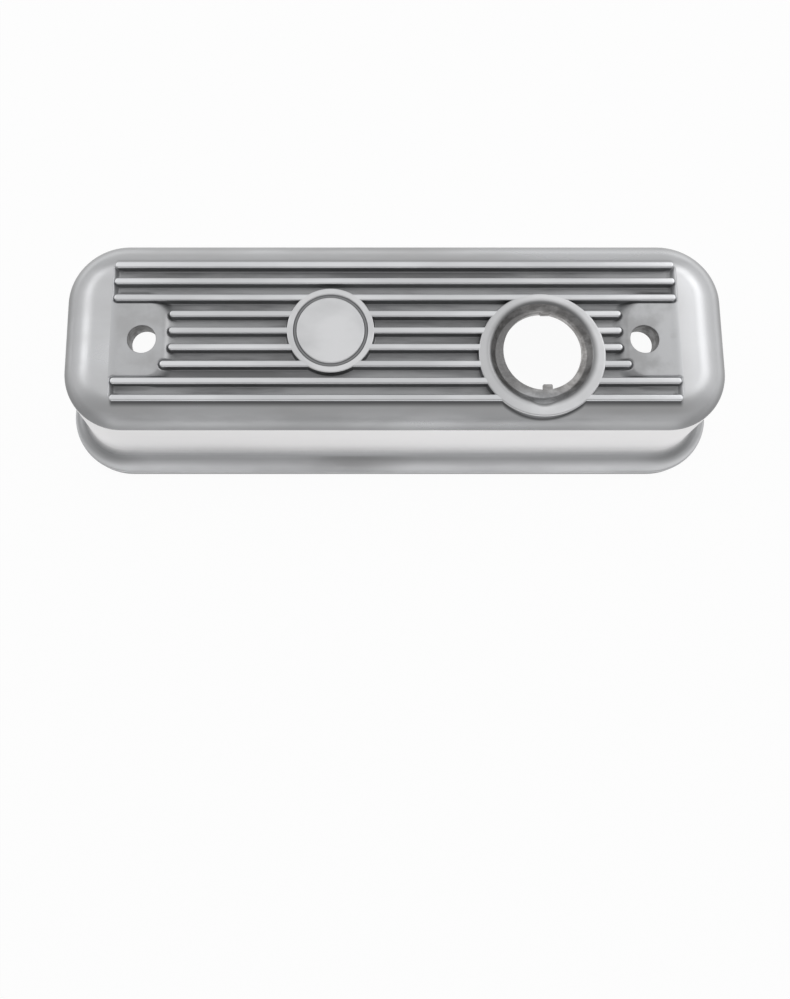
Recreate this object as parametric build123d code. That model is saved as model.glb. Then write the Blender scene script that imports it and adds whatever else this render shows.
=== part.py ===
"""Valve cover of a four-cylinder pushrod engine, one aluminium casting.

Frame: millimetres, +Z up, +X along the engine, -Y towards the front of the cover.
The origin is the middle of the gasket face, so the flange stands on Z = 0.

The casting is a deep hollow tray with drafted walls, a rounded crown that meets them in a crisp
shoulder, and a gasket flange round its foot.  Nine ribs stand in a recess in the top.  They run
into a plain roundel and into the collar of the oil filler, and some stop short of the two pads
that take the holding studs.
"""

import os
from math import radians, sqrt, tan

from build123d import *

# Body
body_length = 422.0      # outside of the end walls, at the shoulder
body_width = 122.0       # outside of the front and back walls, likewise
body_height = 77.0       # gasket face to the polished rim of the top
shoulder_height = 67.5   # gasket face to the crisp edge where crown and walls meet
corner_radius = 39.5     # corners of the shoulder, seen from above
crown_radius = 26.5      # from the flat of the top down to the shoulder
wall_draft = 3.0         # degrees, the walls open towards the gasket face
wall = 4.0               # side walls
skin = 4.0               # top, below the floor of the recess
inner_edge_radius = 10.0  # rounded edge round the ceiling of the cavity

# Gasket flange
lip_ends = 13.0          # how far the flange stands out from the shoulder at each end
lip_sides = 18.0         # the same at the front and at the back
flange_corner_radius = 42.0
flange_thickness = 7.0
flange_bevel = 1.2       # round its upper edge
root_radius = 8.0        # hollow where the wall meets the flange
least_land = 0.3         # flat left between the hollow and the edge of the flange

# Recess in the top
recess_depth = 4.0       # polished rim down to the floor between the ribs
end_rim = 30.8           # shoulder of the end wall to the recess
recess_corner = 2.0
recess_draft = 12.0      # degrees, walls of the recess
pad_draft = 30.0         # degrees, sides of the stud pads
pad_drop = 0.5           # stud pads below the polished rim
pad_margin = 14.15       # middle of a stud hole to the near side of its pad
pad_corner = 18.0
pad_anchor = 5.0         # how far a pad runs into the end wall of the recess
tip_gap = 2.4            # round the tip of a rib that meets a stud pad

# Ribs, counted from the back
rib_count = 9
outer_rib_overhang = 3.1  # outermost ribs, beyond the flat of the top
rib_middle_y = 0.5       # middle of the rib pattern
rib_stand = 1.0          # rib tops above the polished rim
rib_width = 4.2          # across a rib below its bevel
rib_draft = 8.0          # degrees
rib_bevel = 0.6          # edge of the rib tops, the roundel and the collar
end_gap = 2.2            # end wall of the recess to the tips of the long ribs
side_rib_overlap = 2.7   # how far the foremost short rib runs into the corner of a pad
long_ribs_back = 3       # ribs behind the stud pads
long_ribs_front = 2      # ribs in front of them
foot_sink = 1.5          # how deep a raised feature goes into the floor

# Holding studs
stud_spacing = 317.5
stud_middle_x = -1.4
stud_hole = 18.0         # takes the rubber bush of the stud
stud_hole_bevel = 0.4
stud_boss = 34.0         # boss on the ceiling round the hole
stud_boss_draft = 3.0
stud_seat_thickness = 12.5

# Plain roundel
roundel_x = -40.9
roundel_radius = 27.7
groove_radius = 22.6     # middle of the round groove
groove_width = 2.4       # at its mouth
groove_depth = 1.2
groove_draft = 20.0      # degrees

# Oil filler
filler_x = 92.1
collar_radius = 40.0
collar_front_gap = 5.8   # shoulder of the front wall to the collar
collar_draft = 4.0
collar_sink = 7.5        # top of the collar down to its buried foot
seat_shift_y = 1.4       # the seat of the cap lies a little behind the middle of the collar
seat_radius = 31.4
seat_foot_radius = 28.6
seat_depth = 4.6
seat_bevel = 0.5
throat_shift_x = 1.8     # the cored throat lies off the middle too
throat_shift_y = 3.5
throat_radius = 25.2
lug_width = 6.0
lug_length = 3.4         # how far a bayonet lug stands into the throat
lug_thickness = 2.6
lug_shift_x = 2.0

# Heights and places that follow from the sizes above
crown_drop = body_height - shoulder_height
crown_inset = sqrt(crown_radius**2 - (crown_radius - crown_drop) ** 2)
floor_z = body_height - recess_depth
ceiling_z = floor_z - skin
rib_top_z = body_height + rib_stand
rib_height = rib_top_z - floor_z
rib_pitch = (body_width - 2 * crown_inset + 2 * outer_rib_overhang) / (rib_count - 1)
recess_reach = body_length / 2 - end_rim
pad_reach = stud_spacing / 2 - pad_margin
long_reach = recess_reach - end_gap
short_reach = pad_reach - tip_gap
side_reach = pad_reach + side_rib_overlap
pad_z = body_height - pad_drop
pad_back_y = rib_middle_y + ((rib_count - 1) / 2 - long_ribs_back + 1) * rib_pitch
pad_front_y = rib_middle_y - ((rib_count - 1) / 2 - long_ribs_front + 1) * rib_pitch
stud_y = (pad_back_y + pad_front_y) / 2
filler_y = collar_front_gap + collar_radius - body_width / 2
seat_y = filler_y + seat_shift_y
throat_x = filler_x + throat_shift_x
throat_y = filler_y + throat_shift_y
ledge_z = rib_top_z - seat_depth


def rib_y(index):
    """Middle line of a rib, 0 at the back."""
    return rib_middle_y + ((rib_count - 1) / 2 - index) * rib_pitch


def rib_reach(index):
    """Middle of the cover to the tip of a rib."""
    if index < long_ribs_back or index >= rib_count - long_ribs_front:
        return long_reach
    if index == rib_count - long_ribs_front - 1:
        return side_reach
    return short_reach


def drafted_block(length, width, corner, height):
    """Upright block on Z = 0 with drafted walls.

    Its length, width and corner radius are those at the level of the shoulder.
    """
    spread = shoulder_height * tan(radians(wall_draft))
    outline = RectangleRounded(length + 2 * spread, width + 2 * spread, corner + spread)
    return extrude(outline, amount=height, taper=wall_draft)


def raised(outline, depth, draft, bevel):
    """Solid from Z = 0 down, with drafted sides and a bevel round its top.

    The outline is a function that gives the flat shape below the bevel, grown by some margin.
    """
    cap = extrude(outline(-bevel), amount=-bevel, taper=-45)
    body = extrude(outline(0), amount=bevel - depth, taper=-draft)
    return cap + Pos(0, 0, -bevel) * body


def crown():
    """Block with a rounded edge that passes through the shoulder and stands clear below it."""
    margin = crown_radius - crown_inset
    outline = RectangleRounded(
        body_length + 2 * margin, body_width + 2 * margin, corner_radius + margin
    )
    block = extrude(outline, amount=body_height)
    return fillet(block.edges().group_by(Axis.Z)[-1], radius=crown_radius)


def outer_body():
    """Solid body on its flange, with the hollow at the root of the wall."""
    flange = extrude(
        RectangleRounded(
            body_length + 2 * lip_ends, body_width + 2 * lip_sides, flange_corner_radius
        ),
        amount=flange_thickness,
    )
    flange = chamfer(flange.edges().group_by(Axis.Z)[-1], length=flange_bevel)
    body = drafted_block(body_length, body_width, corner_radius, body_height) & crown()
    solid = body + flange
    land = solid.faces().filter_by(Plane.XY).group_by(Axis.Z)[1].sort_by(SortBy.AREA)[-1]
    spread = (shoulder_height - flange_thickness) * tan(radians(wall_draft))
    land_width = min(lip_ends, lip_sides) - spread - flange_bevel
    hollow = min(root_radius, land_width - least_land)
    return fillet(land.inner_wires()[0].edges(), radius=hollow)


def cavity():
    """Space under the cover, open at the gasket face."""
    space = drafted_block(
        body_length - 2 * wall, body_width - 2 * wall, corner_radius - wall, ceiling_z
    )
    return fillet(space.edges().group_by(Axis.Z)[-1], radius=inner_edge_radius)


def stud_pad(side):
    """Flat pad round one stud hole, cut clear of the rib tips that face it."""
    length = recess_reach + pad_anchor - pad_reach
    outline = Rectangle(length, pad_back_y - pad_front_y)
    outline = Pos(side * (pad_reach + length / 2), stud_y) * outline
    near_corners = outline.vertices().sort_by(lambda corner: abs(corner.X))[:2]
    outline = fillet(near_corners, radius=pad_corner)
    height = pad_z - floor_z + foot_sink
    pad = Pos(0, 0, pad_z) * extrude(outline, amount=-height, taper=-pad_draft)
    for index in range(long_ribs_back, rib_count - long_ribs_front):
        slot = SlotOverall(2 * (rib_reach(index) + tip_gap), rib_width + 2 * tip_gap)
        clearance = extrude(slot, amount=-recess_depth, taper=recess_draft)
        pad -= Pos(0, rib_y(index), body_height) * clearance
    return pad


def recess():
    """Space cut out of the top, floor to rim."""
    back, front = rib_y(0), rib_y(rib_count - 1)
    mouth = RectangleRounded(2 * recess_reach, back - front, recess_corner)
    space = extrude(mouth, amount=-recess_depth, taper=recess_draft)
    return Pos(0, (back + front) / 2, body_height) * space


def rib(index):
    """One straight rib with round ends, its foot buried in the floor."""
    length = 2 * rib_reach(index)
    bar = raised(
        lambda grow: SlotOverall(length + 2 * grow, rib_width + 2 * grow),
        rib_height + foot_sink, rib_draft, rib_bevel,
    )
    return Pos(0, rib_y(index), rib_top_z) * bar


def roundel():
    """Plain round boss among the ribs."""
    boss = raised(
        lambda grow: Circle(roundel_radius + grow), rib_height + foot_sink, rib_draft, rib_bevel
    )
    return Pos(roundel_x, rib_middle_y, rib_top_z) * boss


def roundel_groove():
    """Round groove in the face of the roundel."""
    half_mouth = groove_width / 2
    half_floor = half_mouth - groove_depth * tan(radians(groove_draft))
    section = Polyline(
        (groove_radius - half_mouth, 0),
        (groove_radius - half_floor, -groove_depth),
        (groove_radius + half_floor, -groove_depth),
        (groove_radius + half_mouth, 0),
        close=True,
    )
    groove = revolve(Plane.XZ * make_face(section), axis=Axis.Z)
    return Pos(roundel_x, rib_middle_y, rib_top_z) * groove


def collar():
    """Round collar of the oil filler, solid, with its foot buried in the top of the cover."""
    ring = raised(
        lambda grow: Circle(collar_radius + grow), collar_sink, collar_draft, rib_bevel
    )
    return Pos(filler_x, filler_y, rib_top_z) * ring


def filler_opening():
    """Seat of the filler cap and the throat below it, less its two bayonet lugs."""
    height = rib_top_z - ceiling_z
    seat = Pos(filler_x, seat_y, ledge_z) * Cone(
        seat_foot_radius, seat_radius, seat_depth, align=(Align.CENTER, Align.CENTER, Align.MIN)
    )
    mouth_bevel = Pos(filler_x, seat_y, rib_top_z - seat_bevel) * Cone(
        seat_radius, seat_radius + 2 * seat_bevel, 2 * seat_bevel,
        align=(Align.CENTER, Align.CENTER, Align.MIN),
    )
    throat = Pos(throat_x, throat_y, ceiling_z - foot_sink) * Cylinder(
        throat_radius, height, align=(Align.CENTER, Align.CENTER, Align.MIN)
    )
    for side in (-1, 1):
        lug = Pos(throat_x + lug_shift_x, throat_y + side * throat_radius, ledge_z) * Box(
            lug_width, 2 * lug_length, lug_thickness, align=(Align.CENTER, Align.CENTER, Align.MAX)
        )
        throat -= lug
    return seat + mouth_bevel + throat


def stud_boss_solid(side):
    """Boss on the ceiling round one stud hole."""
    foot_z = pad_z - stud_seat_thickness
    height = ceiling_z - foot_z + foot_sink
    boss = extrude(Circle(stud_boss / 2), amount=height, taper=-stud_boss_draft)
    return Pos(stud_middle_x + side * stud_spacing / 2, stud_y, foot_z) * boss


def stud_hole_space(side):
    """Round hole right through pad and boss, bevelled at the top."""
    depth = stud_seat_thickness + 2 * foot_sink
    hole = Pos(0, 0, foot_sink) * Cylinder(
        stud_hole / 2, depth, align=(Align.CENTER, Align.CENTER, Align.MAX)
    )
    bevel = Pos(0, 0, -stud_hole_bevel) * Cone(
        stud_hole / 2, stud_hole / 2 + 2 * stud_hole_bevel, 2 * stud_hole_bevel,
        align=(Align.CENTER, Align.CENTER, Align.MIN),
    )
    return Pos(stud_middle_x + side * stud_spacing / 2, stud_y, pad_z) * (hole + bevel)


def cover_casting():
    """The whole casting."""
    solid = outer_body() - cavity() - recess()
    for side in (-1, 1):
        solid += stud_pad(side)
        solid += stud_boss_solid(side)
    for index in range(rib_count):
        solid += rib(index)
    solid += roundel()
    solid += collar()
    solid = solid - roundel_groove() - filler_opening()
    for side in (-1, 1):
        solid -= stud_hole_space(side)
    return solid


os.makedirs("parts", exist_ok=True)
export_step(cover_casting(), "parts/cover_casting.step")
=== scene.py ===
from math import acos, cos, hypot, pi, radians, sin, tan

import bmesh
import bpy
import numpy as np
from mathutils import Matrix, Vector


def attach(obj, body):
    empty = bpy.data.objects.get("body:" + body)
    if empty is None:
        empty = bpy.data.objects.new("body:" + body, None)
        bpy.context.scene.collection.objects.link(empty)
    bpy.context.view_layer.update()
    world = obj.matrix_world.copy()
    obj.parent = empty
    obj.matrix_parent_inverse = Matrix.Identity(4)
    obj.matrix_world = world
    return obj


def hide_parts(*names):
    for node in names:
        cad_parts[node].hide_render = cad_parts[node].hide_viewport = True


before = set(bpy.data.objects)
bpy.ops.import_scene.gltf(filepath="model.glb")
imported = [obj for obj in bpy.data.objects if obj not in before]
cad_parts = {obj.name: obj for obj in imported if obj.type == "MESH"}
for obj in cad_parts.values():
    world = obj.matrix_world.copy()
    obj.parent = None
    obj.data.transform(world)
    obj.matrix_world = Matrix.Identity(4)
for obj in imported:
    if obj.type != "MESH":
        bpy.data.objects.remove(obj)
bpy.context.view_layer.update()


# ---------------------------------------------------------------- sizes, in millimetres

MM = 0.001

# Body: leaning walls up to the shoulder, and a round crown from there to the rim.
BODY_LENGTH, BODY_WIDTH, BODY_CORNER = 423.4, 123.4, 38.6
CORNER_TIGHTENING = 13.0  # how much smaller the corner radius is at the flange
SHOULDER_Z, RIM_Z, CROWN_RADIUS = 65.5, 77.0, 25.5
WALL_LEAN = radians(2.35)
DRAFT = tan(WALL_LEAN)
CROWN_MIDDLE = RIM_Z - CROWN_RADIUS
CROWN_END = acos((SHOULDER_Z - CROWN_MIDDLE) / CROWN_RADIUS)
CROWN_INSET = CROWN_RADIUS * sin(CROWN_END)

# Flange, its top edge, and the hollow root where the walls stand on it.
FLANGE_LENGTH, FLANGE_WIDTH, FLANGE_CORNER = 448.0, 158.0, 42.0
FLANGE_TOP, FLANGE_EDGE, ROOT_RADIUS = 7.0, 1.2, 7.95

# Cavity: thickness of the walls, height of the ceiling, round edge between the two.
WALL, CEILING_Z, INNER_EDGE = 4.0, 69.0, 10.0

# Recess: its floor, the underside of its block, its outline, and how far its sides slope. The
# softer ends slope that much farther.
FLOOR_Z, BED_Z = 73.0, 71.0
RECESS_REACH, RECESS_HALF, RECESS_CORNER = 180.1, 43.77, 2.0
SIDE_SLOPE, SOFTER_END = 2.2, 1.9

# Ribs, counted from the back: long ones, short ones, one that ends beside the pads, long ones.
RIB_COUNT, RIB_MIDDLE, RIB_PITCH = 9, 0.5, 10.943
RIB_HALF, RIB_TOP = 2.12, 77.96
SIDE_TOP = RIB_TOP - 0.56
LONG_REACH, SHORT_REACH, SIDE_REACH = 178.6, 142.9, 148.0
LONG_BEHIND, LONG_IN_FRONT = 3, 2
RAISED_LEAN = 8.0  # degrees, of the sides of the ribs and the roundel

# Pads round the stud holes, and the bosses under them.
PAD_Z, PAD_REACH, PAD_END, PAD_CORNER = 76.72, 144.4, 260.0, 16.0
PAD_BACK, PAD_FRONT = 22.386, -32.329
STUDS, STUD_HOLE = ((-160.15, -4.97), (157.35, -4.97)), 9.0
BOSS_RADIUS, BOSS_FOOT, BOSS_ROOT = 17.0, 64.0, 2.0

# Roundel, and the filler with its collar, the room cut for it, its seat, ledge and throat.
TOP_Z = 78.0
ROUNDEL, ROUNDEL_RADIUS, GROOVE_RADIUS, GROOVE_HALF = (-40.9, 0.5), 27.7, 22.6, 1.2
COLLAR, COLLAR_RADIUS, COLLAR_ROOM = (92.1, -15.2), 40.0, 37.0
SEAT, SEAT_RADIUS, SEAT_FOOT, LEDGE_Z = (92.1, -13.8), 31.4, 28.6, 73.4
THROAT, THROAT_RADIUS = (93.9, -11.7), 25.2

# Tools that cut right through reach from one of these heights to the other.
TOOL_FOOT, TOOL_TOP = 60.0, 90.0

# Corners of round pieces, from the smallest piece to the largest.
RIB_SIDES, STUD_SIDES, TOOL_SIDES, ROUND_SIDES, COLLAR_SIDES = 36, 64, 96, 128, 144

SHARP_EDGE = radians(33)


# ---------------------------------------------------------------- rings and meshes

def rounded(length, width, corner, z, middle=(0.0, 0.0), steps=20):
    """Ring round a rectangle with round corners."""
    points = []
    for quarter, (side_x, side_y) in enumerate(((1, 1), (-1, 1), (-1, -1), (1, -1))):
        x = middle[0] + side_x * (length / 2 - corner)
        y = middle[1] + side_y * (width / 2 - corner)
        for step in range(steps + 1):
            turn = (quarter + step / steps) * pi / 2
            points.append((x + corner * cos(turn), y + corner * sin(turn), z))
    return points


def circle(radius, z, middle, count, phase=0.0):
    """Round ring."""
    turns = (phase + 2 * pi * step / count for step in range(count))
    return [(middle[0] + radius * cos(turn), middle[1] + radius * sin(turn), z) for turn in turns]


def circles(profile, middle, count, phase=0.0):
    """Round rings from a profile of radii and heights."""
    return [circle(radius, z, middle, count, phase) for radius, z in profile]


def offset(radius, z, steps):
    """Profile whose steps outwards and upwards start from a radius and a height."""
    return [(radius + out, z + up) for out, up in steps]


def corner_at(z):
    """Corner radius of the body at a height: it tightens from the shoulder to the flange."""
    down = (SHOULDER_Z - z) / (SHOULDER_Z - FLANGE_TOP)
    return BODY_CORNER - CORNER_TIGHTENING * min(max(down, 0.0), 1.0)


def body(out, z):
    """Ring round the body at a height, a distance outside the size of the shoulder."""
    return rounded(BODY_LENGTH + 2 * out, BODY_WIDTH + 2 * out, corner_at(z) + out, z)


def lip(inset, z):
    """Ring parallel to the edge of the flange, a distance inside it."""
    return rounded(FLANGE_LENGTH - 2 * inset, FLANGE_WIDTH - 2 * inset, FLANGE_CORNER - inset, z)


def outside(at):
    """Distance of a point outside the body at its height, before the lean of the walls."""
    corner = corner_at(at.z)
    x = abs(at.x) - BODY_LENGTH / 2 + corner
    y = abs(at.y) - BODY_WIDTH / 2 + corner
    return hypot(max(x, 0.0), max(y, 0.0)) + min(max(x, y), 0.0) - corner


def apart(at, middle):
    """Distance between a point and a middle, seen from above."""
    return hypot(at.x - middle[0], at.y - middle[1])


def arc(out, z, radius, start, end, steps):
    """Points of an arc about a middle, by angle from straight up."""
    turns = [radians(start + (end - start) * step / steps) for step in range(steps + 1)]
    return [(out + radius * sin(turn), z + radius * cos(turn)) for turn in turns]


def ring_mesh(name, rings, tube=False):
    """Closed mesh through a stack of rings with equal counts."""
    shape = bmesh.new()
    rows = [[shape.verts.new(Vector(point) * MM) for point in ring] for ring in rings]
    pairs = list(zip(rows, rows[1:]))
    if tube:
        pairs.append((rows[-1], rows[0]))
    else:
        shape.faces.new(rows[0])
        shape.faces.new(rows[-1])
    for low, high in pairs:
        for here in range(len(low)):
            after = (here + 1) % len(low)
            shape.faces.new((low[here], low[after], high[after], high[here]))
    bmesh.ops.recalc_face_normals(shape, faces=shape.faces)
    mesh = bpy.data.meshes.new(name)
    shape.to_mesh(mesh)
    shape.free()
    return mesh


def joined(name, meshes):
    """One mesh out of several."""
    shape = bmesh.new()
    for mesh in meshes:
        shape.from_mesh(mesh)
    mesh = bpy.data.meshes.new(name)
    shape.to_mesh(mesh)
    shape.free()
    return mesh


def placed(name, data):
    """Object at the origin that shows a mesh, or is a lamp or a camera."""
    thing = bpy.data.objects.new(name, data)
    bpy.context.scene.collection.objects.link(thing)
    return thing


def settle(thing):
    """Works an object's modifiers into its mesh and removes them."""
    graph = bpy.context.evaluated_depsgraph_get()
    mesh = bpy.data.meshes.new_from_object(thing.evaluated_get(graph), depsgraph=graph)
    mesh.name = thing.name
    thing.modifiers.clear()
    thing.data = mesh


def cut(thing, tools):
    """Takes the tools' shapes out of an object."""
    for number, tool in enumerate(tools):
        cutter = placed(f"cutter_{number}", tool)
        modifier = thing.modifiers.new("cut", "BOOLEAN")
        modifier.operation = "DIFFERENCE"
        modifier.solver = "EXACT"
        modifier.object = cutter
        settle(thing)
        bpy.data.objects.remove(cutter)


def finish_piece(thing, finishes, choose=None):
    """Smooth shading with crisp edges, the finishes, and the piece's place on the casting.

    choose gives the finish of a face by its middle in millimetres and its normal.
    """
    mesh = thing.data
    mesh.materials.clear()
    for finish in finishes:
        mesh.materials.append(finish)
    for face in mesh.polygons:
        face.use_smooth = True
        finish = choose(face.center / MM, face.normal) if choose else finishes[0]
        face.material_index = finishes.index(finish)
    mesh.set_sharp_from_angle(angle=SHARP_EDGE)
    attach(thing, "root")
    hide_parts("cover_casting")


# ---------------------------------------------------------------- node helpers

def node(tree, kind, inputs=None, **settings):
    """New node with its settings and inputs; an input is a value or another node's output."""
    new = tree.nodes.new(kind)
    for key, value in settings.items():
        setattr(new, key, value)
    for key, value in (inputs or {}).items():
        if isinstance(value, bpy.types.NodeSocket):
            tree.links.new(value, new.inputs[key])
        else:
            new.inputs[key].default_value = value
    return new


def maths(tree, operation, first, second=0.0, third=0.0, clamp=False):
    """Output of a Math node."""
    sums = node(tree, "ShaderNodeMath", {0: first, 1: second, 2: third}, operation=operation)
    sums.use_clamp = clamp
    return sums.outputs[0]


def ramp(tree, value, low, high, start=0.0, end=1.0):
    """Smooth step of a value between two levels."""
    step = node(tree, "ShaderNodeMapRange", {
        "Value": value, "From Min": low, "From Max": high, "To Min": start, "To Max": end,
    }, interpolation_type="SMOOTHSTEP")
    return step.outputs["Result"]


def fade(tree, distance, span, levels=(0.0, 1.0)):
    """Smooth step between two levels as a distance crosses a span in millimetres."""
    return ramp(tree, distance, span[0] * MM, span[1] * MM, *levels)


def blend(tree, factor, first, second):
    """Output of a colour mix."""
    mix = node(tree, "ShaderNodeMix", {0: factor, 6: first, 7: second}, data_type="RGBA")
    return mix.outputs[2]


def surface(tree):
    """The point of the surface on the cover."""
    return node(tree, "ShaderNodeTexCoord").outputs["Object"]


def parts_of(tree, vector):
    """X, Y and Z of a vector."""
    return node(tree, "ShaderNodeSeparateXYZ", {0: vector}).outputs


def off_line(tree, value, line):
    """Distance of a coordinate from a line, which is given in millimetres."""
    return maths(tree, "ABSOLUTE", maths(tree, "SUBTRACT", value, line * MM))


def off_point(tree, vector, point):
    """Distance of a vector from a point, which is given in millimetres."""
    return node(tree, "ShaderNodeVectorMath", {
        0: vector, 1: [size * MM for size in point]}, operation="DISTANCE").outputs["Value"]


def group(name, inputs, outputs):
    """Empty shader group with its sockets, its given inputs and its output node."""
    tree = bpy.data.node_groups.new(name, "ShaderNodeTree")
    for label, value in inputs:
        socket = tree.interface.new_socket(label, in_out="INPUT", socket_type="NodeSocketFloat")
        socket.default_value = value
    for label in outputs:
        tree.interface.new_socket(label, in_out="OUTPUT", socket_type="NodeSocketFloat")
    return tree, tree.nodes.new("NodeGroupInput").outputs, tree.nodes.new("NodeGroupOutput")


def use(tree, shared, **values):
    """Outputs of a shared group placed in a material, with its inputs in Python's spelling."""
    placed_group = tree.nodes.new("ShaderNodeGroup")
    placed_group.node_tree = shared
    for label, value in values.items():
        placed_group.inputs[label.replace("_", " ").capitalize()].default_value = value
    return placed_group.outputs


def metal(name, bump, metallic=1.0, roughness=0.5):
    """Node tree of a new bare metal, and the function that coats its shader.

    bump is a strength and a distance in millimetres. The coat is a colour, the height of the bump
    and, where it changes over the surface, the roughness.
    """
    material = bpy.data.materials.new(name)
    material.use_nodes = True
    tree = material.node_tree
    shader = tree.nodes["Principled BSDF"]
    shader.inputs["Metallic"].default_value = metallic
    shader.inputs["Roughness"].default_value = roughness
    strength, distance = bump
    dent = node(tree, "ShaderNodeBump", {"Strength": strength, "Distance": distance * MM})
    tree.links.new(dent.outputs["Normal"], shader.inputs["Normal"])

    def coat(colour, height, dullness=None):
        tree.links.new(colour, shader.inputs["Base Color"])
        tree.links.new(height, dent.inputs["Height"])
        if dullness is not None:
            tree.links.new(dullness, shader.inputs["Roughness"])
        return material

    return tree, coat


# ---------------------------------------------------------------- shared effects

def make_grain():
    """Fine tumbled grain with softer waves under it."""
    tree, given, out = group(
        "casting grain", (("Grain", 1500.0), ("Waves", 260.0), ("Share", 0.5)), ("Height", "Tone")
    )
    place = surface(tree)
    fine = node(tree, "ShaderNodeTexNoise", {
        "Vector": place, "Scale": given["Grain"], "Detail": 3.0, "Roughness": 0.6})
    soft = node(tree, "ShaderNodeTexNoise", {
        "Vector": place, "Scale": given["Waves"], "Detail": 2.0, "Roughness": 0.5})
    mix = node(tree, "ShaderNodeMix", {
        0: given["Share"], 2: fine.outputs["Fac"], 3: soft.outputs["Fac"]}, data_type="FLOAT")
    tree.links.new(mix.outputs[0], out.inputs["Height"])
    tree.links.new(ramp(tree, fine.outputs["Fac"], 0.35, 0.65), out.inputs["Tone"])
    return tree


def make_clouds():
    """Broad soft patches where the polish varies."""
    tree, given, out = group("polish clouds", (("Size", 18.0), ("Stretch", 0.35)), ("Mask",))
    parts = parts_of(tree, surface(tree))
    squeezed = node(tree, "ShaderNodeCombineXYZ", {
        "X": maths(tree, "MULTIPLY", parts["X"], given["Stretch"]),
        "Y": parts["Y"],
        "Z": parts["Z"],
    })
    noise = node(tree, "ShaderNodeTexNoise", {
        "Vector": squeezed.outputs[0], "Scale": given["Size"], "Detail": 4.0, "Roughness": 0.55})
    tree.links.new(ramp(tree, noise.outputs["Fac"], 0.36, 0.64), out.inputs["Mask"])
    return tree


def make_lines():
    """Fine polishing lines along the cover."""
    tree, given, out = group(
        "polishing lines", (("Along", 9.0), ("Across", 1400.0)), ("Height", "Mask")
    )
    parts = parts_of(tree, surface(tree))
    squeezed = node(tree, "ShaderNodeCombineXYZ", {
        "X": maths(tree, "MULTIPLY", parts["X"], given["Along"]),
        "Y": maths(tree, "MULTIPLY", parts["Y"], given["Across"]),
        "Z": maths(tree, "MULTIPLY", parts["Z"], given["Across"]),
    })
    noise = node(tree, "ShaderNodeTexNoise", {
        "Vector": squeezed.outputs[0], "Scale": 1.0, "Detail": 3.0, "Roughness": 0.65})
    tree.links.new(noise.outputs["Fac"], out.inputs["Height"])
    tree.links.new(ramp(tree, noise.outputs["Fac"], 0.38, 0.62), out.inputs["Mask"])
    return tree


def make_level():
    """Mask that rises from 0 to 1 between two heights, with an uneven edge."""
    tree, given, out = group(
        "level", (("Low", 0.073), ("High", 0.077), ("Wander", 0.0004)), ("Mask",)
    )
    place = surface(tree)
    noise = node(tree, "ShaderNodeTexNoise", {"Vector": place, "Scale": 160.0, "Detail": 3.0})
    swing = maths(tree, "SUBTRACT", noise.outputs["Fac"], 0.5)
    height = maths(tree, "MULTIPLY_ADD", swing, given["Wander"], parts_of(tree, place)["Z"])
    tree.links.new(ramp(tree, height, given["Low"], given["High"]), out.inputs["Mask"])
    return tree


def make_outline():
    """Distance outside a round-cornered outline on the cover, seen from above."""
    tree, given, out = group(
        "outline", (("Half length", 0.2), ("Half width", 0.06), ("Corner", 0.04)), ("Distance",)
    )
    parts = parts_of(tree, surface(tree))
    over = []
    for axis, size in (("X", "Half length"), ("Y", "Half width")):
        past = maths(tree, "SUBTRACT", maths(tree, "ABSOLUTE", parts[axis]), given[size])
        over.append(maths(tree, "ADD", past, given["Corner"]))
    away = [maths(tree, "POWER", maths(tree, "MAXIMUM", value, 0.0), 2.0) for value in over]
    corner = maths(tree, "SQRT", maths(tree, "ADD", *away))
    within = maths(tree, "MINIMUM", maths(tree, "MAXIMUM", *over), 0.0)
    total = maths(tree, "ADD", corner, within)
    distance = maths(tree, "SUBTRACT", total, given["Corner"])
    tree.links.new(distance, out.inputs["Distance"])
    return tree


grain, clouds, lines = make_grain(), make_clouds(), make_lines()
level, outline = make_level(), make_outline()


def risen(tree, low, high, wander):
    """Mask that rises between two heights; these and the wander of its edge are in millimetres."""
    return use(tree, level, low=low * MM, high=high * MM, wander=wander * MM)["Mask"]


def past_body(tree, corner):
    """Distance outside the body's outline with a corner radius, seen from above."""
    return use(tree, outline, half_length=BODY_LENGTH / 2 * MM, half_width=BODY_WIDTH / 2 * MM,
               corner=corner * MM)["Distance"]


# ---------------------------------------------------------------- finishes
#
# A fade's span is in millimetres on the cover: X along it, Y across it, Z up.

def even(value):
    """Neutral colour of one value."""
    return (value, value, value, 1.0)


def grey(value, warmth=0.0):
    """Metal colour a little cool, or warmer."""
    return (value * (0.985 + warmth), value * 0.995, value * (1.015 - warmth), 1.0)


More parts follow.
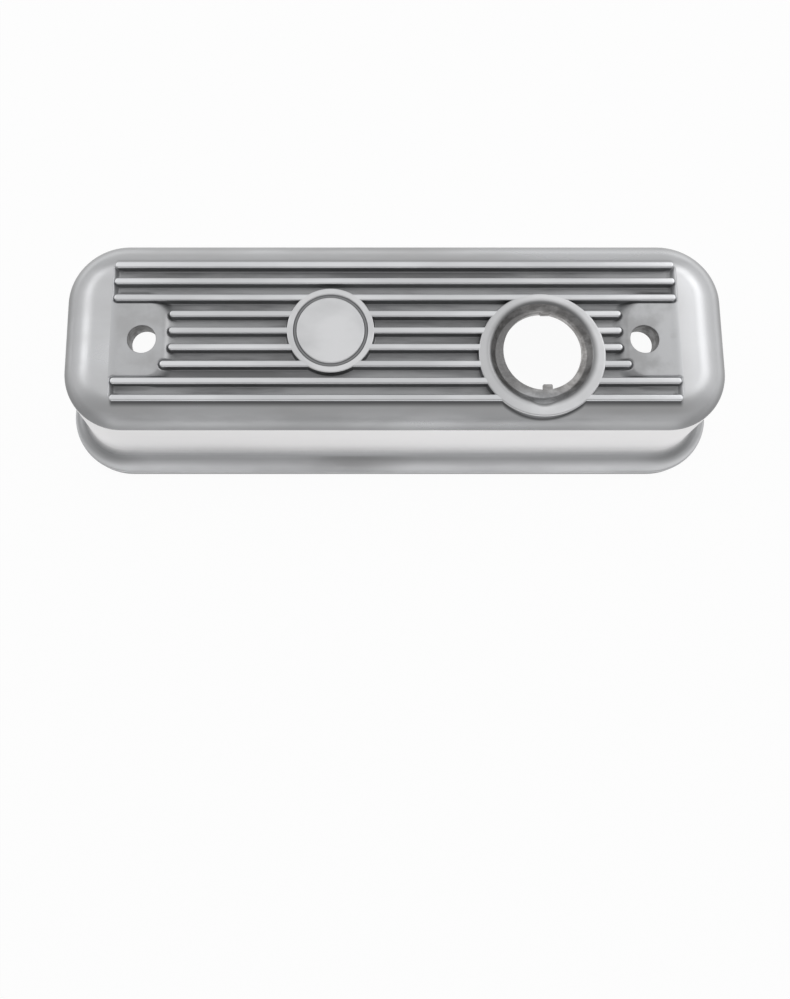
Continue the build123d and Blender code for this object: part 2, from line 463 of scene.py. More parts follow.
def make_satin():
    """Tumbled and polished outside of the casting, with painted shade beside what stands out of
    it.
    """
    tree, coat = metal("satin casting", bump=(0.10, 0.12))
    skin = use(tree, grain, grain=1300.0, waves=240.0, share=0.6)
    patch = use(tree, clouds, size=20.0, stretch=0.3)["Mask"]
    streaks = use(tree, clouds, size=44.0, stretch=0.30)["Mask"]
    parts = parts_of(tree, surface(tree))
    reach = maths(tree, "ABSOLUTE", parts["X"])

    # Painted light on the right end and painted shade on the left end, and streaks on the land in
    # front of the ribs.
    colour = blend(tree, patch, grey(0.58, 0.010), grey(0.72))
    lit_right_end = fade(tree, parts["X"], (172.0, 190.0), (0.0, 0.7))
    colour = blend(tree, lit_right_end, colour, grey(0.74))
    shaded_left_end = fade(tree, parts["X"], (-190.0, -172.0), (0.6, 0.0))
    colour = blend(tree, shaded_left_end, colour, grey(0.62))
    front_land = fade(tree, parts["Y"], (-56.0, -50.0), (0.75, 0.0))
    colour = blend(tree, front_land, colour, blend(tree, streaks, grey(0.58), grey(0.80)))

    # Painted shade along the foot of the front rib, round the collar and down the shoulder, and
    # darker along the foot of the back rib.
    front_line, back_line = off_line(tree, parts["Y"], -45.0), off_line(tree, parts["Y"], 46.2)
    along_front = fade(tree, front_line, (1.0, 4.6), (1.0, 0.0))
    along_back = fade(tree, back_line, (0.4, 3.0), (0.35, 0.0))
    ribs = maths(tree, "MAXIMUM", along_front, along_back)
    ribs = maths(tree, "MULTIPLY", ribs, fade(tree, reach, (177.0, 179.5), (1.0, 0.0)))
    flat = node(tree, "ShaderNodeCombineXYZ", {"X": parts["X"], "Y": parts["Y"]}).outputs[0]
    collar = fade(tree, off_point(tree, flat, (*COLLAR, 0.0)), (40.5, 42.5), (1.0, 0.0))
    shoulder = fade(tree, past_body(tree, BODY_CORNER), (-8.4, -0.8))
    shoulder = maths(tree, "MULTIPLY", shoulder, fade(tree, reach, (165.0, 205.0), (0.70, 0.88)))
    painted_shade = maths(tree, "MAXIMUM", shoulder, maths(tree, "MAXIMUM", ribs, collar))
    colour = blend(tree, painted_shade, colour, grey(0.17))
    return coat(colour, skin["Height"], ramp(tree, patch, 0.0, 1.0, 0.34, 0.27))


def make_wall():
    """Linished walls with lines along the cover, with painted shade above and in the root of the
    flange.
    """
    tree, coat = metal("linished wall", bump=(0.14, 0.06))
    drawn = use(tree, lines, along=10.0, across=1500.0)
    patch = use(tree, clouds, size=14.0, stretch=0.3)["Mask"]
    parts = parts_of(tree, surface(tree))
    colour = blend(tree, patch, grey(0.96, 0.018), grey(0.98, 0.016))
    # Painted light and shade: lighter towards the bottom of the wall, darker towards the top.
    painted_shade_above = fade(tree, parts["Z"], (22.0, 60.0), (0.0, 0.26))
    colour = blend(tree, painted_shade_above, colour, grey(0.80, 0.017))
    # Painted shade in the hollow root of the wall, deeper towards the ends.
    corner = fade(tree, maths(tree, "ABSOLUTE", parts["X"]), (172.0, 200.0))
    root = blend(tree, corner, grey(0.60), grey(0.42))
    colour = blend(tree, risen(tree, 7.4, 14.8, wander=0.6), root, colour)
    return coat(colour, drawn["Height"], ramp(tree, drawn["Mask"], 0.0, 1.0, 0.70, 0.80))


def make_flange():
    """Cast and lightly linished flange, with painted shade in its root and a soft darker patch
    near the middle.
    """
    tree, coat = metal("flange face", bump=(0.14, 0.12), metallic=0.8)
    skin = use(tree, grain, grain=900.0, waves=200.0, share=0.5)
    patch = use(tree, clouds, size=26.0, stretch=0.35)["Mask"]
    smear = use(tree, clouds, size=46.0, stretch=0.25)["Mask"]
    along = parts_of(tree, surface(tree))["X"]
    past = past_body(tree, corner_at(FLANGE_TOP))

    # Darker ends, and painted shade in the root, deeper towards the ends.
    end = fade(tree, maths(tree, "ABSOLUTE", along), (165.0, 205.0), (0.0, 0.55))
    colour = blend(tree, patch, grey(0.72), grey(0.84))
    colour = blend(tree, maths(tree, "MULTIPLY", end, 0.4), colour, grey(0.50, 0.01))
    root = blend(tree, end, grey(0.60), grey(0.18))
    colour = blend(tree, fade(tree, past, (9.6, 13.6)), root, colour)

    # Darker patch left of the middle, weaker towards the edge, and faint smears all along.
    dark_patch = fade(tree, off_line(tree, along, -26.0), (0.0, 62.0), (0.95, 0.0))
    dark_patch = maths(tree, "MULTIPLY", dark_patch, ramp(tree, smear, 0.0, 0.9, 0.35, 1.0))
    dark_patch = maths(tree, "MULTIPLY", dark_patch, fade(tree, past, (9.5, 17.0), (1.0, 0.5)))
    dark_patch = maths(tree, "MAXIMUM", dark_patch, maths(tree, "MULTIPLY", smear, 0.18))
    colour = blend(tree, dark_patch, colour, grey(0.41, 0.006))

    # Dark, dull edge face.
    face = risen(tree, 5.6, 6.9, wander=0.3)
    colour = blend(tree, face, grey(0.30), colour)
    dullness = blend(tree, face, even(0.6), blend(tree, patch, even(0.40), even(0.30)))
    return coat(colour, skin["Height"], dullness)


def make_gasket():
    """Milled gasket face."""
    tree, coat = metal("milled face", bump=(0.25, 0.05), roughness=0.28)
    drawn = use(tree, lines, along=40.0, across=900.0)
    return coat(blend(tree, drawn["Mask"], grey(0.70), grey(0.80)), drawn["Height"])


def make_inside():
    """Sand-cast inside of the cover."""
    tree, coat = metal("sand casting", bump=(0.5, 0.35))
    skin = use(tree, grain, grain=650.0, waves=120.0, share=0.45)
    patch = use(tree, clouds, size=30.0, stretch=0.8)["Mask"]
    colour = blend(tree, patch, grey(0.42, 0.01), grey(0.54))
    return coat(colour, skin["Height"], ramp(tree, skin["Tone"], 0.0, 1.0, 0.46, 0.6))


def make_bed():
    """Recess between the ribs: dark and dull at the bottom, partly as cast and partly painted
    shade, satin on the pads.
    """
    tree, coat = metal("recess bed", bump=(0.18, 0.14))
    skin = use(tree, grain, grain=800.0, waves=220.0, share=0.5)
    patch = use(tree, clouds, size=60.0, stretch=0.16)["Mask"]
    spots = use(tree, clouds, size=55.0, stretch=0.9)["Mask"]
    along = parts_of(tree, surface(tree))["X"]
    reach = maths(tree, "ABSOLUTE", along)
    right = fade(tree, along, (-10.0, 10.0))

    # Each pad has its own tone. Painted light lightens pads and bottom both to meet the ends of
    # the recess.
    left_pad = blend(tree, spots, grey(0.47, 0.006), grey(0.55))
    right_pad = blend(tree, spots, grey(0.38, 0.006), grey(0.50))
    pads = blend(tree, right, left_pad, right_pad)
    end = blend(tree, right, grey(0.58), grey(0.67))
    pads = blend(tree, fade(tree, reach, (174.2, 180.2)), pads, end)
    bottom = blend(tree, patch, grey(0.20), grey(0.40))
    bottom = blend(tree, fade(tree, reach, (176.8, 180.2), (0.0, 0.8)), bottom, grey(0.53))
    # Painted shade, partly as cast: darker towards the bottom of the recess.
    rise = risen(tree, 73.8, 76.4, wander=0.6)
    colour = blend(tree, rise, bottom, pads)
    return coat(colour, skin["Height"], ramp(tree, rise, 0.0, 1.0, 0.46, 0.36))


def make_rib():
    """Ribs: linished tops over dark sides, partly as cast and partly painted shade."""
    tree, coat = metal("linished rib", bump=(0.10, 0.05))
    drawn = use(tree, lines, along=12.0, across=1300.0)
    patch = use(tree, clouds, size=34.0, stretch=0.3)["Mask"]
    # Painted shade, partly as cast: the sides darken below the linished top.
    rise = risen(tree, 76.2, 77.1, wander=0.3)
    colour = blend(tree, rise, grey(0.32), blend(tree, patch, grey(0.69), grey(0.83)))
    return coat(colour, drawn["Height"], ramp(tree, rise, 0.0, 1.0, 0.46, 0.28))


def make_ring():
    """Linished roundel and filler collar, over dark sides, partly as cast and partly painted
    shade.
    """
    tree, coat = metal("linished ring", bump=(0.10, 0.06))
    skin = use(tree, grain, grain=1500.0, waves=300.0, share=0.4)
    patch = use(tree, clouds, size=26.0, stretch=0.7)["Mask"]
    place = surface(tree)
    along = parts_of(tree, place)["X"]
    top = blend(tree, patch, grey(0.68, 0.005), grey(0.80, 0.005))

    # The left of the collar is darker, and painted shade darkens the lip into the filler's mouth.
    left = fade(tree, along, (56.0, 90.0), (0.7, 0.0))
    darker_left = maths(tree, "MULTIPLY", fade(tree, along, (40.0, 52.0)), left)
    top = blend(tree, darker_left, top, grey(0.56, 0.005))
    mouth = fade(tree, off_point(tree, place, (*SEAT, TOP_Z)), (31.6, 36.2))
    top = blend(tree, mouth, grey(0.20, 0.01), top)
    # Painted shade, partly as cast: the sides darken below the top.
    colour = blend(tree, risen(tree, 76.8, 77.9, wander=0.2), grey(0.26), top)
    return coat(colour, skin["Height"], ramp(tree, patch, 0.0, 1.0, 0.36, 0.29))


def make_bore():
    """Inside of a stud hole, stained and as cast."""
    tree, coat = metal("stud bore", bump=(0.4, 0.25), roughness=0.46)
    skin = use(tree, grain, grain=700.0, waves=180.0, share=0.5)
    patch = use(tree, clouds, size=220.0, stretch=1.0)["Mask"]
    return coat(blend(tree, patch, grey(0.12, 0.03), grey(0.23, 0.015)), skin["Height"])


def make_seat():
    """Inside of the filler, stained by oil at the back and sides and cleaner at the front."""
    tree, coat = metal("stained seat", bump=(0.45, 0.28))
    skin = use(tree, grain, grain=700.0, waves=180.0, share=0.5)
    patch = use(tree, clouds, size=190.0, stretch=0.7)["Mask"]
    parts = parts_of(tree, surface(tree))
    right_ledge = blend(tree, patch, grey(0.30, 0.04), grey(0.50, 0.03))
    ledge = blend(tree, fade(tree, parts["X"], (70.0, 98.0)), grey(0.20, 0.02), right_ledge)
    slope = blend(tree, patch, grey(0.19, 0.03), grey(0.31, 0.025))
    stained = blend(tree, risen(tree, 73.4, 74.4, wander=0.6), ledge, slope)
    clean = blend(tree, patch, grey(0.34), grey(0.48))
    front = fade(tree, parts["Y"], (-43.0, -34.0), (1.0, 0.0))
    colour = blend(tree, front, stained, clean)
    return coat(colour, skin["Height"], ramp(tree, skin["Tone"], 0.0, 1.0, 0.36, 0.50))


satin_finish, wall_finish, flange_finish = make_satin(), make_wall(), make_flange()
gasket_finish, inside_finish, bed_finish = make_gasket(), make_inside(), make_bed()
rib_finish, ring_finish = make_rib(), make_ring()
seat_finish, bore_finish = make_seat(), make_bore()


# ---------------------------------------------------------------- tools and profiles

def round_tool(radius, middle, sides=TOOL_SIDES, foot=TOOL_FOOT):
    """Round tool that reaches up through the top."""
    return ring_mesh("round tool", circles(((radius, foot), (radius, TOOL_TOP)), middle, sides))


def stud_tool(place):
    """Round tool for a stud hole, with a small flare where it leaves the pad."""
    flare = ((0.0, -0.6), (0.06, -0.32), (0.22, -0.08), (0.5, 0.12))
    profile = [(STUD_HOLE, TOOL_FOOT), *offset(STUD_HOLE, PAD_Z, flare)]
    profile.append((STUD_HOLE + 0.9, TOP_Z + 2.0))
    return ring_mesh("stud tool", circles(profile, place, STUD_SIDES))


def hole_tools():
    """Tools for the throat, for the mouth of the collar and for the stud holes."""
    tools = [round_tool(THROAT_RADIUS, THROAT, ROUND_SIDES)]
    tools.append(round_tool(COLLAR_ROOM, COLLAR, foot=LEDGE_Z - 0.45))
    return tools + [stud_tool(place) for place in STUDS]


def raised(side, top, flare, edge, last=0):
    """Profile of a raised feature: flared foot in the bed, leaning side and round top edge.

    The edge's arc runs on to the last angle from straight up.
    """
    sunk, under, over, steps = 0.5, 0.04, 0.01, 5
    upright = 90 - RAISED_LEAN
    lean, slant = tan(radians(RAISED_LEAN)), cos(radians(RAISED_LEAN))
    foot = side + (SIDE_TOP - FLOOR_Z - flare) * lean + flare / slant
    profile = [(foot, FLOOR_Z - sunk), (foot, FLOOR_Z - under)]
    for turn in (radians(step * upright / steps) for step in range(steps + 1)):
        profile.append((foot - flare * sin(turn), FLOOR_Z - over + flare - flare * cos(turn)))
    return profile + arc(side - edge * sin(radians(upright)), top - edge, edge, upright, last, 6)


# ---------------------------------------------------------------- pieces

def make_shell():
    """Walls, crown, flange and cavity, with the recess and the holes cut out."""
    wall_turn, crown_gap = 87, 0.9  # degrees: from level to a wall, and short of the shoulder
    ceiling_inset, inner_chamfer, root_gap, rim_inset = 1.0, 0.4, 0.4, 0.6
    inner_levels, outer_levels = (57.5, 40.0, 20.0, 2.0, 0.5), (16.0, 30.0, 45.0, 58.0, 64.4, 65.1)
    flange_side = ((0.5, 0.0), (0.12, 0.12), (0.0, 0.5), (0.0, 5.4))
    flange_inset = 1.7
    inner = lambda z: (SHOULDER_Z - z) * DRAFT - WALL
    outer = lambda z: (SHOULDER_Z - z) * DRAFT
    slant = cos(WALL_LEAN)
    roof = inner(CEILING_Z - INNER_EDGE) - INNER_EDGE / slant
    hollow_z = FLANGE_TOP + ROOT_RADIUS
    hollow = outer(hollow_z) + ROOT_RADIUS / slant

    # From the ceiling down the inside, round the flange, and up the outside to the rim.
    rings = [body(roof - ceiling_inset, CEILING_Z)]
    ceiling_edge = arc(roof, CEILING_Z - INNER_EDGE, INNER_EDGE, 0, wall_turn, steps=10)
    rings += [body(*at) for at in ceiling_edge]
    rings += [body(inner(z), z) for z in inner_levels]
    rings.append(body(inner(0.0) + inner_chamfer, 0.0))
    rings += [lip(*at) for at in flange_side]
    edge = arc(FLANGE_EDGE, FLANGE_TOP - FLANGE_EDGE, FLANGE_EDGE, 90, 0, steps=5)
    rings += [lip(2 * FLANGE_EDGE - out, z) for out, z in edge]
    rings += [lip(flange_inset, FLANGE_TOP), body(hollow + root_gap, FLANGE_TOP)]
    root = arc(hollow, hollow_z, -ROOT_RADIUS, 0, -wall_turn, steps=14)
    rings += [body(2 * hollow - out, z) for out, z in root]
    rings += [body(outer(z), z) for z in outer_levels]
    crown_turn = CROWN_END * 180 / pi - crown_gap
    crown = arc(-CROWN_INSET, CROWN_MIDDLE, CROWN_RADIUS, crown_turn, 0, steps=22)
    rings += [body(*at) for at in crown]
    rings.append(body(-CROWN_INSET - rim_inset, RIM_Z))
    shell = placed("cover_shell", ring_mesh("cover_shell", rings))

    recess = [rounded(2 * RECESS_REACH, 2 * RECESS_HALF, RECESS_CORNER, z, (0.0, RIB_MIDDLE), 6)
              for z in (BED_Z, TOOL_TOP)]
    cut(shell, [ring_mesh("recess tool", recess), *hole_tools()])

    # Each finish reaches up to its height, and those of the holes reach this near.
    gasket_z, flange_z, crown_z, ceiling_z = 0.3, 8.2, SHOULDER_Z + 0.1, CEILING_Z + 0.5
    near, facing_down, upright = 0.3, -0.9, 0.2

    def choose(at, normal):
        if at.z < gasket_z and normal.z < facing_down:
            return gasket_finish
        if apart(at, THROAT) < THROAT_RADIUS + near:
            return seat_finish
        if any(apart(at, place) < STUD_HOLE + near for place in STUDS):
            return bore_finish
        in_wall = outer(at.z) - WALL / 2
        if at.z < ceiling_z and normal.z < upright and outside(at) < in_wall:
            return inside_finish
        if at.z < flange_z:
            return flange_finish
        return wall_finish if at.z < crown_z else satin_finish

    finish_piece(shell, [satin_finish, wall_finish, flange_finish, gasket_finish,
                         inside_finish, seat_finish, bore_finish], choose)


def ease(value):
    """Smooth step from 0 to 1."""
    value = np.clip(value, 0.0, 1.0)
    return value * value * (3 - 2 * value)


def box_depth(x, y, half_x, half_y, corner):
    """Depth inside a rectangle with round corners."""
    out_x, out_y = np.abs(x) - half_x + corner, np.abs(y) - half_y + corner
    past_corner = np.hypot(np.maximum(out_x, 0), np.maximum(out_y, 0))
    return corner - past_corner - np.minimum(np.maximum(out_x, out_y), 0)


def bed_height(x, y):
    """Height of the bed of the recess and of the pads that rise out of it."""
    end_zone, end_run, brim = 9.0, 5.0, 0.05
    depth = box_depth(x, y - RIB_MIDDLE, RECESS_REACH, RECESS_HALF, RECESS_CORNER)
    slope = SIDE_SLOPE + SOFTER_END * ease((end_zone - RECESS_REACH + np.abs(x)) / end_run)
    side = RIM_Z - (RIM_Z - FLOOR_Z) * ease((depth - brim) / slope)

    # Pads, which rise over a broad foot.
    pad_foot, pad_run, pad_top_run = 6.0, 9.0, 5.0
    half_x, half_y = (PAD_END - PAD_REACH) / 2, (PAD_BACK - PAD_FRONT) / 2
    pad = box_depth(
        np.abs(x) - PAD_REACH - half_x, y - (PAD_BACK + PAD_FRONT) / 2, half_x, half_y, PAD_CORNER
    )
    rise = ease((pad + pad_foot) / pad_run)

    # Troughs in the pads' feet, round the ends of the third to the eighth rib.
    trough_start, trough_run = 0.3, 1.5
    reaches = (LONG_REACH, SHORT_REACH, SHORT_REACH, SHORT_REACH, SIDE_REACH, LONG_REACH)
    troughs = (0.34, 0.38, 0.38, 0.38, 0.38, 0.30)
    for number, reach, trough in zip(range(2, 8), reaches, troughs):
        rib_y = RIB_MIDDLE + (RIB_COUNT // 2 - number) * RIB_PITCH
        beyond = np.maximum(np.abs(x) - reach + RIB_HALF, 0)
        gap = np.hypot(beyond, y - rib_y) - RIB_HALF
        rise = rise * (1 - trough * (1 - ease((gap - trough_start) / trough_run)))
    pad_top = RIM_Z - (RIM_Z - PAD_Z) * ease(depth / pad_top_run)
    height = np.maximum(FLOOR_Z + (pad_top - FLOOR_Z) * rise, side)

    # Nowhere above the crown.
    over = np.maximum(np.abs(y) - (BODY_WIDTH / 2 - CROWN_INSET), 0)
    return np.minimum(height, CROWN_MIDDLE + np.sqrt(CROWN_RADIUS ** 2 - over ** 2))


def mirrored(end, *runs):
    """Places from one end to the other, by runs of start, stop and step from the middle out."""
    half = np.concatenate([np.arange(*run) for run in runs] + [[end]])
    return np.concatenate([-half[:0:-1], half])


def make_bed_piece():
    """Bed of the recess with the two stud pads, as one closed block."""
    # Fine steps at the short ribs' ends and at the sloping sides.
    brim = 0.1
    xs = mirrored(RECESS_REACH, (0, 138, 6.0), (138, 152, 0.4), (152, 177, 1.0),
                  (177, RECESS_REACH - brim, 0.2))
    ys = mirrored(RECESS_HALF, (0, RECESS_HALF - 3, 0.5),
                  (RECESS_HALF - 3, RECESS_HALF - brim, 0.2)) + RIB_MIDDLE
    grid_x, grid_y = np.meshgrid(xs, ys)
    points = np.stack([grid_x, grid_y, bed_height(grid_x, grid_y)], -1).reshape(-1, 3)
    columns, rows = len(xs), len(ys)
    at = lambda row, column: row * columns + column
    faces = [(at(r, c), at(r, c + 1), at(r + 1, c + 1), at(r + 1, c))
             for r in range(rows - 1) for c in range(columns - 1)]

    # Upright sides from the rim down to the flat underside.
    rim = [at(0, c) for c in range(columns)] + [at(r, columns - 1) for r in range(1, rows)]
    rim += [at(rows - 1, c) for c in range(columns - 2, -1, -1)]
    rim += [at(r, 0) for r in range(rows - 2, 0, -1)]
    foot = points[rim].copy()
    foot[:, 2] = BED_Z
    first, count = len(points), len(rim)
    for here in range(count):
        after = (here + 1) % count
        faces.append((rim[after], rim[here], first + here, first + after))
    faces.append(tuple(first + here for here in range(count - 1, -1, -1)))
    mesh = bpy.data.meshes.new("recess_bed")
    mesh.from_pydata((np.concatenate([points, foot]) * MM).tolist(), [], faces)
    mesh.validate()
    bed = placed("recess_bed", mesh)
    cut(bed, hole_tools())
    near, level_face = 0.2, 0.5

    def choose(at, normal):
        if abs(normal.z) > level_face:
            return bed_finish
        if min(apart(at, place) for place in STUDS) < STUD_HOLE + near:
            return bore_finish
        return seat_finish if apart(at, THROAT) < THROAT_RADIUS + near else bed_finish

    finish_piece(bed, [bed_finish, seat_finish, bore_finish], choose)


def make_rib_layout():
    """Node tree that sets a round-ended tip out as ribs, and the values of its inputs."""
    tree = bpy.data.node_groups.new("rib layout", "GeometryNodeTree")
    tree.interface.new_socket("Geometry", in_out="INPUT", socket_type="NodeSocketGeometry")
    sizes = (
        ("Count", "NodeSocketInt", RIB_COUNT),
        ("Back line", "NodeSocketFloat", (RIB_MIDDLE + RIB_COUNT // 2 * RIB_PITCH) * MM),
        ("Pitch", "NodeSocketFloat", RIB_PITCH * MM),
        ("Long ribs behind", "NodeSocketInt", LONG_BEHIND),
        ("Long ribs in front", "NodeSocketInt", LONG_IN_FRONT),
        ("Long reach", "NodeSocketFloat", (LONG_REACH - RIB_HALF) * MM),
        ("Short reach", "NodeSocketFloat", (SHORT_REACH - RIB_HALF) * MM),
        ("Side reach", "NodeSocketFloat", (SIDE_REACH - RIB_HALF) * MM),
        ("Finish", "NodeSocketMaterial", rib_finish),
    )
    values = {}
    for label, kind, value in sizes:
        socket = tree.interface.new_socket(label, in_out="INPUT", socket_type=kind)
        values[socket.identifier] = value
    tree.interface.new_socket("Geometry", in_out="OUTPUT", socket_type="NodeSocketGeometry")
    given = tree.nodes.new("NodeGroupInput").outputs

    def whole(operation, first, second):
        compared = node(tree, "FunctionNodeCompare", {2: first, 3: second},
                        data_type="INT", operation=operation)
        return compared.outputs[0]

    def sums(operation, first, second=0.0):
        return node(tree, "ShaderNodeMath", {0: first, 1: second}, operation=operation).outputs[0]

    def either(switch, no, yes):
        return node(tree, "GeometryNodeSwitch", {"Switch": switch, "False": no, "True": yes},
                    input_type="FLOAT").outputs[0]

    # One numbered copy of the tip on each rib's line.
    start = node(tree, "ShaderNodeCombineXYZ", {"Y": given["Back line"]})
    step = node(tree, "ShaderNodeCombineXYZ", {"Y": sums("MULTIPLY", given["Pitch"], -1.0)})
    line = node(tree, "GeometryNodeMeshLine", {
        "Count": given["Count"], "Start Location": start.outputs[0], "Offset": step.outputs[0]})
    copies = node(tree, "GeometryNodeInstanceOnPoints", {
        "Points": line.outputs[0], "Instance": given["Geometry"]})
    numbered = node(tree, "GeometryNodeStoreNamedAttribute", {
        "Geometry": copies.outputs[0], "Name": "rib_number",
        "Value": node(tree, "GeometryNodeInputIndex").outputs[0],
    }, data_type="INT", domain="INSTANCE")
    solid = node(tree, "GeometryNodeRealizeInstances", {0: numbered.outputs[0]})
    number = node(tree, "GeometryNodeInputNamedAttribute", {"Name": "rib_number"}, data_type="INT")
    number = number.outputs[0]

    # Each half of a tip moves out to its rib's reach.
    side_rib = sums("SUBTRACT", sums("SUBTRACT", given["Count"], given["Long ribs in front"]), 1.0)
    long_rib = node(tree, "FunctionNodeBooleanMath", {
        0: whole("LESS_THAN", number, given["Long ribs behind"]),
        1: whole("GREATER_THAN", number, side_rib),
    }, operation="OR").outputs[0]
    beside_pads = whole("EQUAL", number, side_rib)
    reach = either(beside_pads, given["Short reach"], given["Side reach"])
    reach = either(long_rib, reach, given["Long reach"])
    place = node(tree, "GeometryNodeInputPosition").outputs[0]
    shift = node(tree, "ShaderNodeCombineXYZ", {
        "X": sums("MULTIPLY", sums("SIGN", parts_of(tree, place)["X"]), reach)})
    drawn = node(tree, "GeometryNodeSetPosition", {
        "Geometry": solid.outputs[0], "Offset": shift.outputs[0]})

    plain = node(tree, "GeometryNodeRemoveAttribute", {
        "Geometry": drawn.outputs[0], "Name": "rib_number"})
    real = node(tree, "GeometryNodeRealizeInstances", {0: plain.outputs[0]})
    coated = node(tree, "GeometryNodeSetMaterial", {
        "Geometry": real.outputs[0], "Material": given["Finish"]})
    tree.links.new(coated.outputs[0], tree.nodes.new("NodeGroupOutput").inputs[0])
    return tree, values


def make_ribs():
    """Nine ribs laid out by a node tree from one round-ended tip."""
    flat_half, crest = 0.7, 0.015
    profile = raised(RIB_HALF, RIB_TOP, flare=0.9, edge=0.95, last=6)
    profile.append((flat_half, RIB_TOP + crest))
    tip = ring_mesh("ribs", circles(profile, (0, 0), RIB_SIDES, phase=pi / RIB_SIDES))
    ribs = placed("ribs", tip)
    layout = ribs.modifiers.new("rib layout", "NODES")
    layout.node_group, values = make_rib_layout()
    for identifier, value in values.items():
        layout[identifier] = value
    settle(ribs)
    into_collar, into_roundel = 36.0, 25.5
    cut(ribs, [round_tool(into_collar, COLLAR), round_tool(into_roundel, ROUNDEL)])
    finish_piece(ribs, [rib_finish])


def make_roundel():
    """Plain roundel with its round groove."""
    deep, top = 1.2, TOP_Z - 0.02
    slope = deep * tan(radians(20))
    groove = ((0.8, 0.0), (0.3, 0.0), (0.08, -0.09), (-0.08, -0.3), (-slope, 0.15 - deep),
              (-slope - 0.2, -deep))
    profile = raised(ROUNDEL_RADIUS, top, flare=1.0, edge=0.7)
    profile += offset(GROOVE_RADIUS + GROOVE_HALF, top, groove)
    inner_side = [(-out, up) for out, up in reversed(groove)]
    profile += offset(GROOVE_RADIUS - GROOVE_HALF, top, inner_side)
    profile += [(radius, top) for radius in (14.0, 6.0)]
    mesh = ring_mesh("roundel", circles(profile, ROUNDEL, ROUND_SIDES))
    finish_piece(placed("roundel", mesh), [ring_finish])


def make_collar():
    """Filler collar: rim, sloping seat, ledge, start of the throat and the two bayonet lugs."""
    side_levels, side_top, upright, edge = (69.8, 72.9, 74.5, 76.3), TOP_Z - 0.6, 86, 1.0
    side = COLLAR_RADIUS + 0.02
    lean = tan(radians(90 - upright))
    outer = [(side + (side_top - z) * lean, z) for z in side_levels]
    outer += arc(side - edge * sin(radians(upright)), TOP_Z - edge, edge, upright, 0, steps=6)
    outer.append((COLLAR_RADIUS - 1.5, TOP_Z))
    rings = circles(outer, COLLAR, COLLAR_SIDES)

    # Steps outwards from the seat and down from the top, and the depth of the front notch.
    lip_round = ((3.9, 0.0, 0.5), (3.1, 0.04, 1.2), (2.4, 0.14, 1.9), (1.75, 0.32, 2.2),
                 (1.15, 0.58, 2.2), (0.65, 0.92, 1.8), (0.25, 1.35, 1.2), (-0.1, 1.9, 0.6))
    notch_half, notch_share = 10.5, 0.85

    def mouth(radius, z, notch):
        ring = []
        for x, y, height in circle(radius, z, SEAT, COLLAR_SIDES):
            swing = 0.5 + 0.5 * cos(pi * min(1.0, abs(x - SEAT[0]) / notch_half))
            push = notch_share * notch * swing if y < SEAT[1] else 0.0
            ring.append((x, y - push, height))
        return ring

    rings += [mouth(SEAT_RADIUS + out, TOP_Z - drop, notch) for out, drop, notch in lip_round]
    seat_foot = ((0.5, 0.6, 0.2), (0.1, 0.15, 0.1), (-0.3, 0.0, 0.0))
    rings += [mouth(SEAT_FOOT + out, LEDGE_Z + up, notch) for out, up, notch in seat_foot]
    throat = ((0.45, 0.0), (0.13, -0.12), (0.0, -0.42), (-0.02, -0.5), (4.0, -0.5))
    rings += circles(offset(THROAT_RADIUS, LEDGE_Z, throat), THROAT, COLLAR_SIDES)
    parts = [ring_mesh("collar", rings, tube=True)]

    # The front lug stands out of the throat's wall farther than the back one.
    lug_corner, lug_rings = 0.7, ((5.4, -2.6), (6.0, -2.3), (6.0, -0.35), (5.4, -0.05))
    for direction, away in ((-1, -0.4), (1, 1.6)):
        middle = (THROAT[0] + 2.0, THROAT[1] + direction * (THROAT_RADIUS + away))
        lug = [rounded(size, size, lug_corner, LEDGE_Z + up, middle, 4) for size, up in lug_rings]
        parts.append(ring_mesh("lug", lug))
    collar = placed("filler_collar", joined("filler_collar", parts))
    mouth_edge, mouth_z = SEAT_RADIUS + 3.0, TOP_Z - 0.95

    def choose(at, normal):
        inside = apart(at, SEAT) < mouth_edge and at.z < mouth_z
        return seat_finish if inside else ring_finish

    finish_piece(collar, [ring_finish, seat_finish], choose)


def make_bosses():
    """Two stud bosses on the ceiling of the cavity."""
    lean, sunk, near = tan(radians(3.0)), CEILING_Z + 0.6, 0.1
    foot = BOSS_RADIUS + 3.0 * lean + BOSS_ROOT
    outer = offset(BOSS_RADIUS, BOSS_FOOT, (
        (-0.5, 0.0), (-0.12, 0.12), (0.0, 0.5), (2.0 * lean, 2.0)))
    for turn in (radians(angle) for angle in (75, 55, 35, 17, 0)):
        up = CEILING_Z - BOSS_ROOT + BOSS_ROOT * cos(turn) + 0.01
        outer.append((foot - BOSS_ROOT * sin(turn), up))
    outer.append((foot, sunk))
    inner = [(STUD_HOLE - 0.02, sunk)]
    inner += offset(STUD_HOLE, BOSS_FOOT, ((-0.02, 0.5), (0.1, 0.12), (0.5, 0.0)))
    parts = [ring_mesh("boss", circles(outer + inner, place, STUD_SIDES), tube=True)
             for place in STUDS]
    bosses = placed("stud_bosses", joined("stud_bosses", parts))

    def choose(at, normal):
        hole = min(apart(at, place) for place in STUDS) < STUD_HOLE + near
        return bore_finish if hole else inside_finish

    finish_piece(bosses, [inside_finish, bore_finish], choose)


make_shell()
make_bed_piece()
make_ribs()
make_roundel()
make_collar()
make_bosses()


# ---------------------------------------------------------------- floor, light and camera

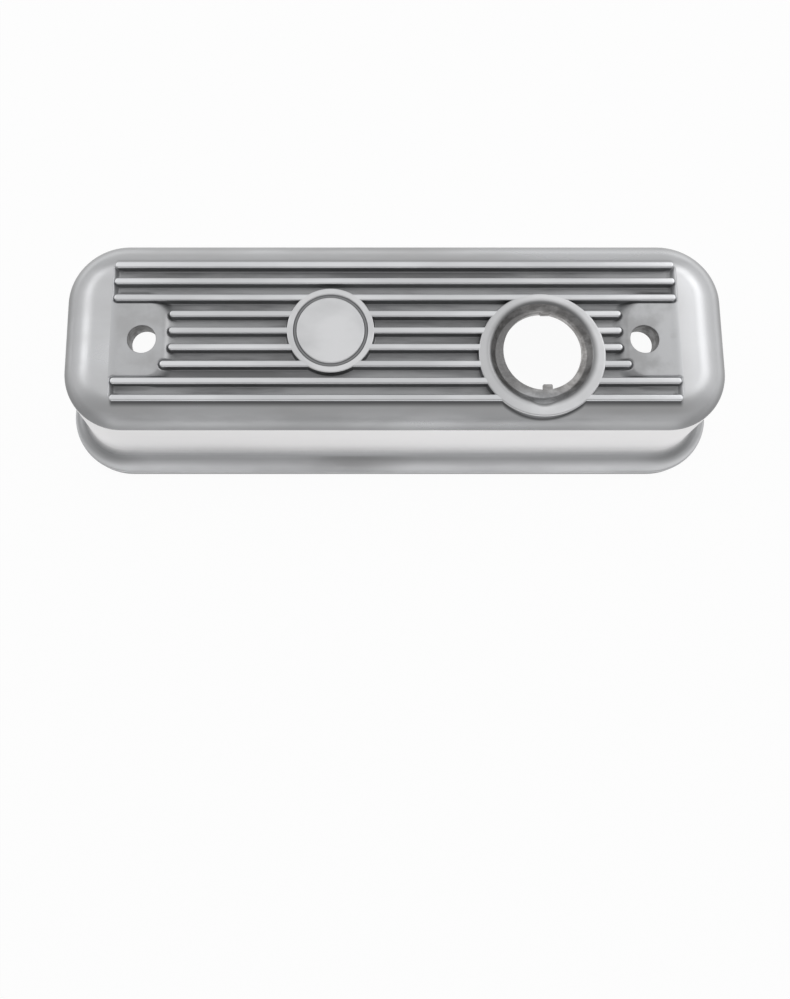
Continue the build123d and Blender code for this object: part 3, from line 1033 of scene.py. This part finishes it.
def make_floor():
    """Plain pale floor that keeps a soft shadow of the cover."""
    half, glow_share = 4, 0.95
    mesh = bpy.data.meshes.new("floor")
    corners = [(-half, -half, 0), (half, -half, 0), (half, half, 0), (-half, half, 0)]
    mesh.from_pydata(corners, [], [(0, 1, 2, 3)])
    floor = placed("floor", mesh)
    material = bpy.data.materials.new("pale floor")
    material.use_nodes = True
    tree = material.node_tree
    shader = tree.nodes["Principled BSDF"]
    shader.inputs["Base Color"].default_value = even(0.9)
    shader.inputs["Roughness"].default_value = 0.9
    shader.inputs["Specular IOR Level"].default_value = 0.0
    glow = node(tree, "ShaderNodeEmission", {"Color": even(1.0), "Strength": 1.0})
    path = tree.nodes.new("ShaderNodeLightPath").outputs
    seen = maths(tree, "ADD", path["Is Camera Ray"], path["Is Glossy Ray"])
    seen = maths(tree, "ADD", seen, path["Is Transmission Ray"], clamp=True)
    share = maths(tree, "MULTIPLY", seen, glow_share)
    mix = node(tree, "ShaderNodeMixShader", {0: share, 1: shader.outputs[0], 2: glow.outputs[0]})
    tree.links.new(mix.outputs[0], tree.nodes["Material Output"].inputs["Surface"])
    mesh.materials.append(material)


def aimed(name, place, size, brightness):
    """Soft oblong lamp at a place in metres, aimed at the middle of the cover."""
    lamp = bpy.data.lights.new(name, "AREA")
    lamp.shape = "RECTANGLE"
    lamp.size, lamp.size_y = size
    lamp.energy = brightness * size[0] * size[1] * pi
    thing = placed(name, lamp)
    thing.location = place
    aim = Vector((0.0, 0.0, 0.05)) - Vector(place)
    thing.rotation_euler = aim.to_track_quat("-Z", "Y").to_euler()


make_floor()
for lamp_name, place, size, brightness in (
    ("overhead", (0.0, 0.55, 1.3), (2.4, 1.3), 0.37),
    ("rear", (0.0, 1.5, 0.42), (2.6, 0.8), 0.20),
    ("left", (-1.4, 0.45, 0.62), (1.6, 0.8), 0.30),
    ("right", (1.4, 0.45, 0.60), (1.6, 0.8), 0.30),
    ("left strip", (-1.0, 0.40, 0.92), (0.9, 0.36), 1.0),
    ("right strip", (0.95, 0.42, 1.00), (0.9, 0.46), 1.13),
    ("front", (0.0, -1.5, 0.30), (2.4, 0.5), 0.80),
):
    aimed(lamp_name, place, size, brightness)

world = bpy.data.worlds.new("room")
world.use_nodes = True
world.node_tree.nodes["Background"].inputs["Color"].default_value = even(0.45)
bpy.context.scene.world = world
bpy.context.scene.view_settings.view_transform = "Standard"

# Camera: its focal length and its middle are in pixels of the frame.
FRAME_WIDTH, FRAME_HEIGHT, FOCAL_LENGTH = 790.0, 999.0, 779.74
MIDDLE_X, MIDDLE_Y, SENSOR = 348.71, 470.53, 36.0
camera_data = bpy.data.cameras.new("camera")
camera = placed("camera", camera_data)
camera.location = (-0.02942, -0.16674, 0.54836)
camera.rotation_euler = (radians(9.35), 0.0, 0.0)
camera_data.sensor_fit = "AUTO"
camera_data.sensor_width = SENSOR
camera_data.lens = FOCAL_LENGTH * SENSOR / FRAME_HEIGHT
camera_data.shift_x = (FRAME_WIDTH / 2 - MIDDLE_X) / FRAME_HEIGHT
camera_data.shift_y = (MIDDLE_Y - FRAME_HEIGHT / 2) / FRAME_HEIGHT
bpy.context.scene.camera = camera
